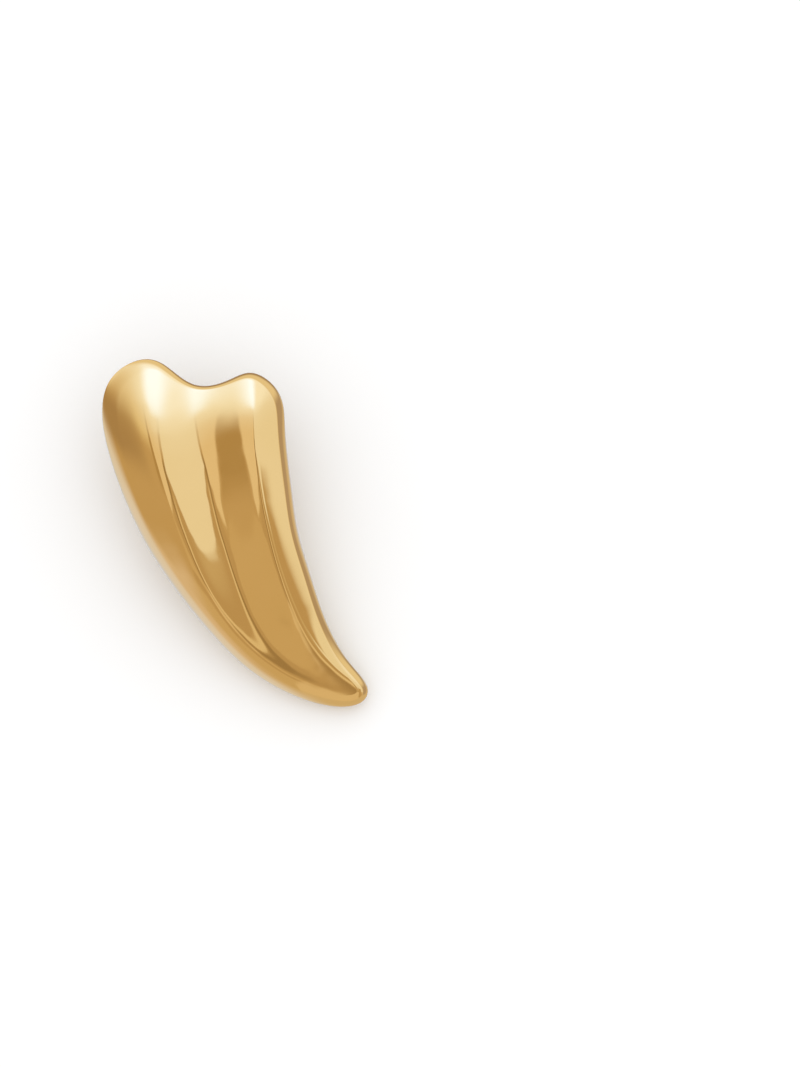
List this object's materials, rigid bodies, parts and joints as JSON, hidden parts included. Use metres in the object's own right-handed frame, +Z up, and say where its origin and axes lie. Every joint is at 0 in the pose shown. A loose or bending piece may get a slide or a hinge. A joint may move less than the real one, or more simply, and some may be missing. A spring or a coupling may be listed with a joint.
{
  "type": "clip-on earring",
  "caption": "Plump curved horn in mirror-polished gold, lobed at the top and tapering to a rounded tip, with a paddle clip on its flat back. It lies face up.",
  "frame": {"origin": "middle of the whole object's footprint, on the ground that it lies on", "axes": "+Z up from the ground, +Y towards the two lobes, +X to the right seen from above; the tip points to -Y and +X"},
  "size_m": [0.0382, 0.0488, 0.016],
  "materials": {
    "horn_gold": "mirror-polished gold plate",
    "clip_gold": "polished gold plate, a little duller than the horn"
  },
  "bodies": {
    "root": {"horn": "horn_gold", "ear_clip": "clip_gold"}
  },
  "joints": []
}
